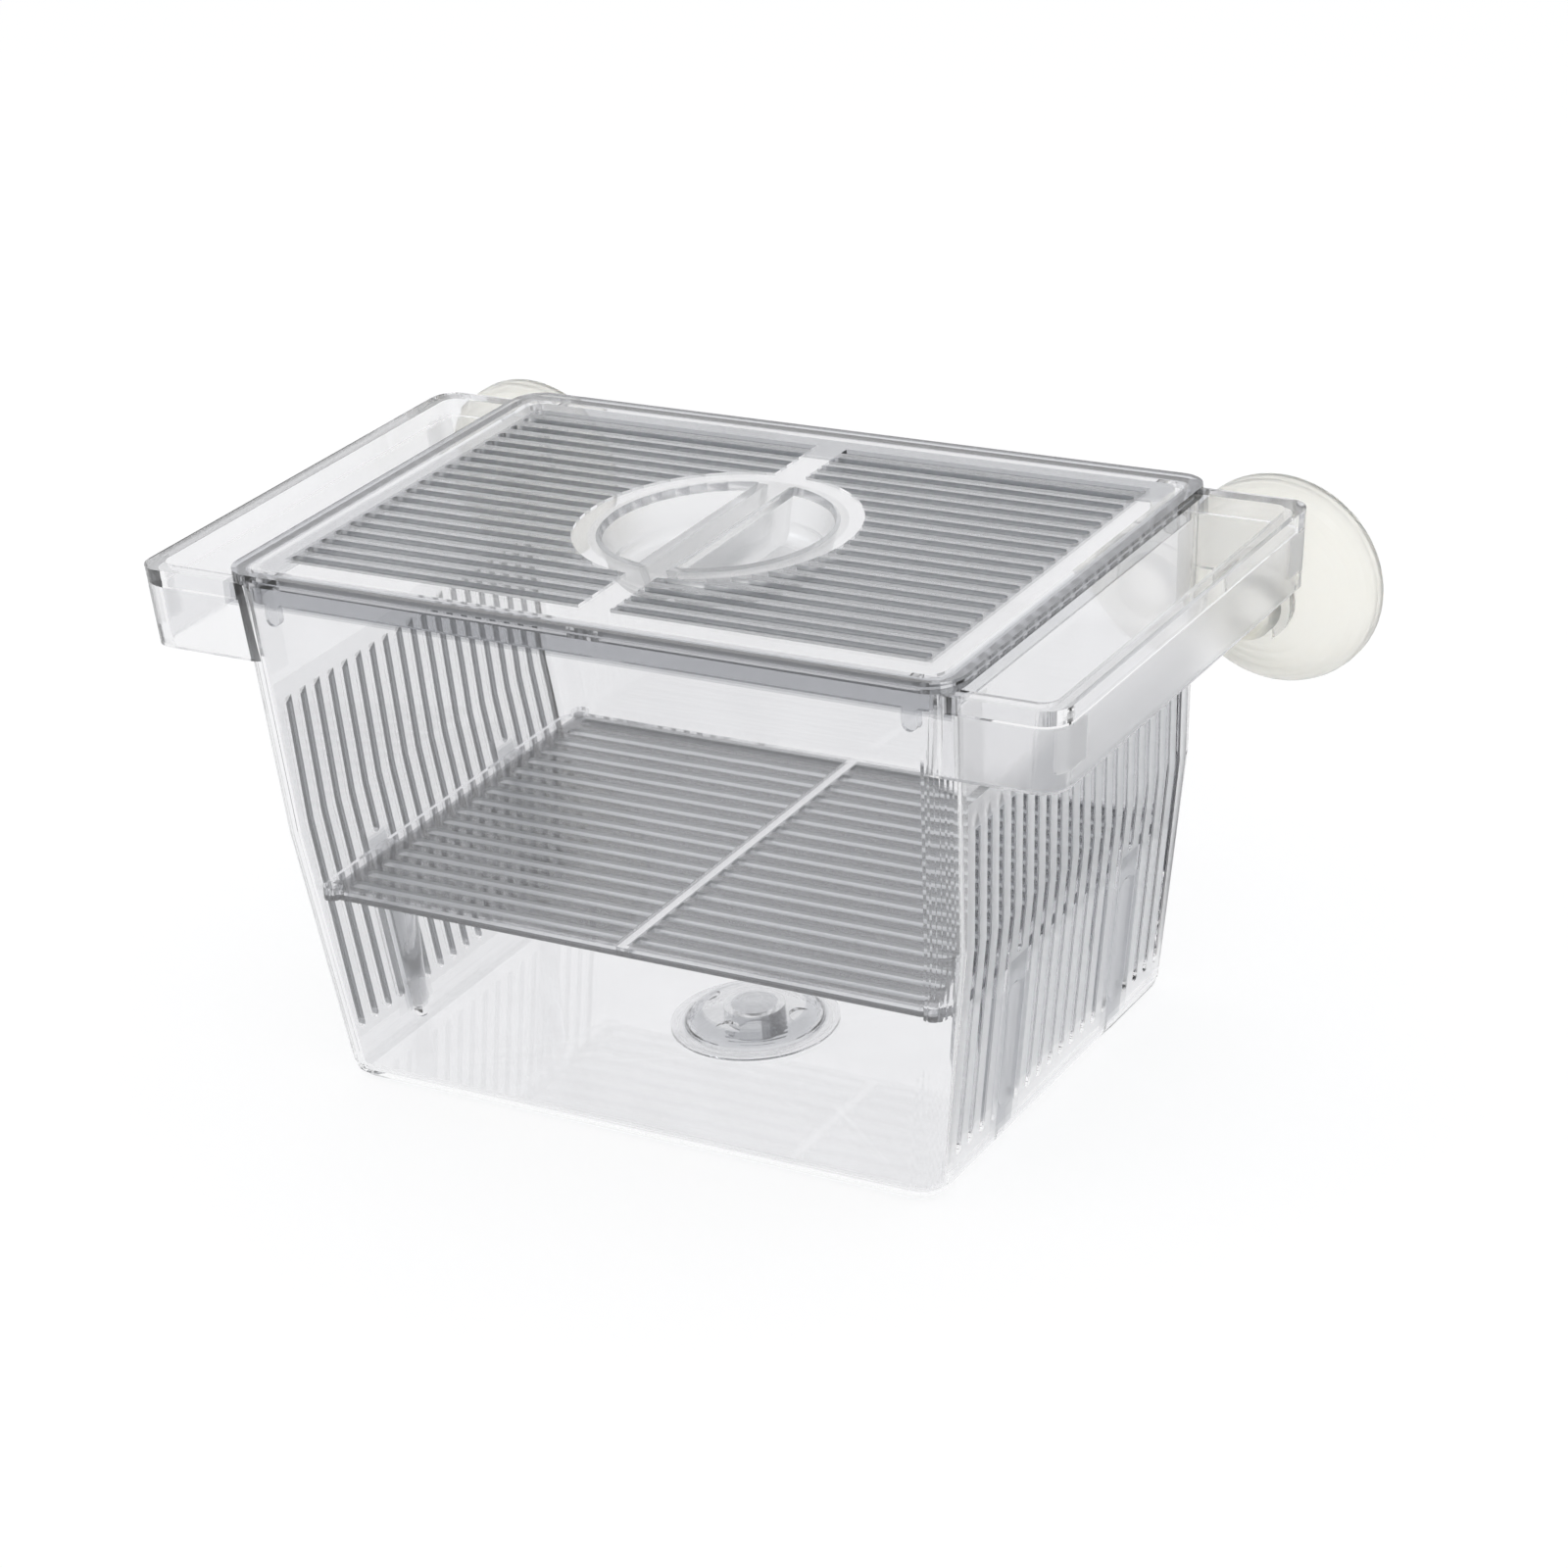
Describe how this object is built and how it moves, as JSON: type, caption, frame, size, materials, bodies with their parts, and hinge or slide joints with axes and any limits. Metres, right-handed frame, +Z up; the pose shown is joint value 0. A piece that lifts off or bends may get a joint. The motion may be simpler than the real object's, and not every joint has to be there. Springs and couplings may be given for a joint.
{
  "type": "fish breeding box",
  "caption": "Clear hanging breeding box for aquarium fish with slotted end walls, slotted divider and lid, open side wings, floor plug and suction cups.",
  "frame": {"origin": "On the surface that the box stands on, midway between the two ends, and midway between the lid's front edge and the rims of the suction cups.", "axes": "+X to the right along the length, +Y towards the aquarium's glass, +Z up."},
  "size_m": [0.22, 0.1226, 0.1107],
  "materials": {
    "clear_polystyrene": "clear, glossy, as moulded",
    "milky_soft_vinyl": "soft, milky, slightly warm white"
  },
  "bodies": {
    "tank": {"tank": "clear_polystyrene"},
    "divider": {"divider": "clear_polystyrene"},
    "lid": {"lid": "clear_polystyrene"},
    "release_plug": {"release_plug": "clear_polystyrene"},
    "suction_cup_left": {"suction_cup_left": "milky_soft_vinyl"},
    "suction_cup_right": {"suction_cup_right": "milky_soft_vinyl"}
  },
  "joints": [
    {"name": "divider_lift", "type": "slide", "parent": "tank", "child": "divider", "axis": [0, 0, 1], "range_m": [0, 0.09]},
    {"name": "lid_lift", "type": "slide", "parent": "divider", "child": "lid", "axis": [0, 0, 1], "range_m": [0, 0.06]},
    {"name": "plug_pull", "type": "slide", "parent": "tank", "child": "release_plug", "axis": [0, 0, 1], "range_m": [0, 0.018]},
    {"name": "left_cup_turn", "type": "hinge", "parent": "tank", "child": "suction_cup_left", "pos_m": [-0.0885, 0.0482, 0.0865], "axis": [0, 1, 0], "continuous": true},
    {"name": "right_cup_turn", "type": "hinge", "parent": "tank", "child": "suction_cup_right", "pos_m": [0.0885, 0.0482, 0.0865], "axis": [0, 1, 0], "continuous": true}
  ]
}
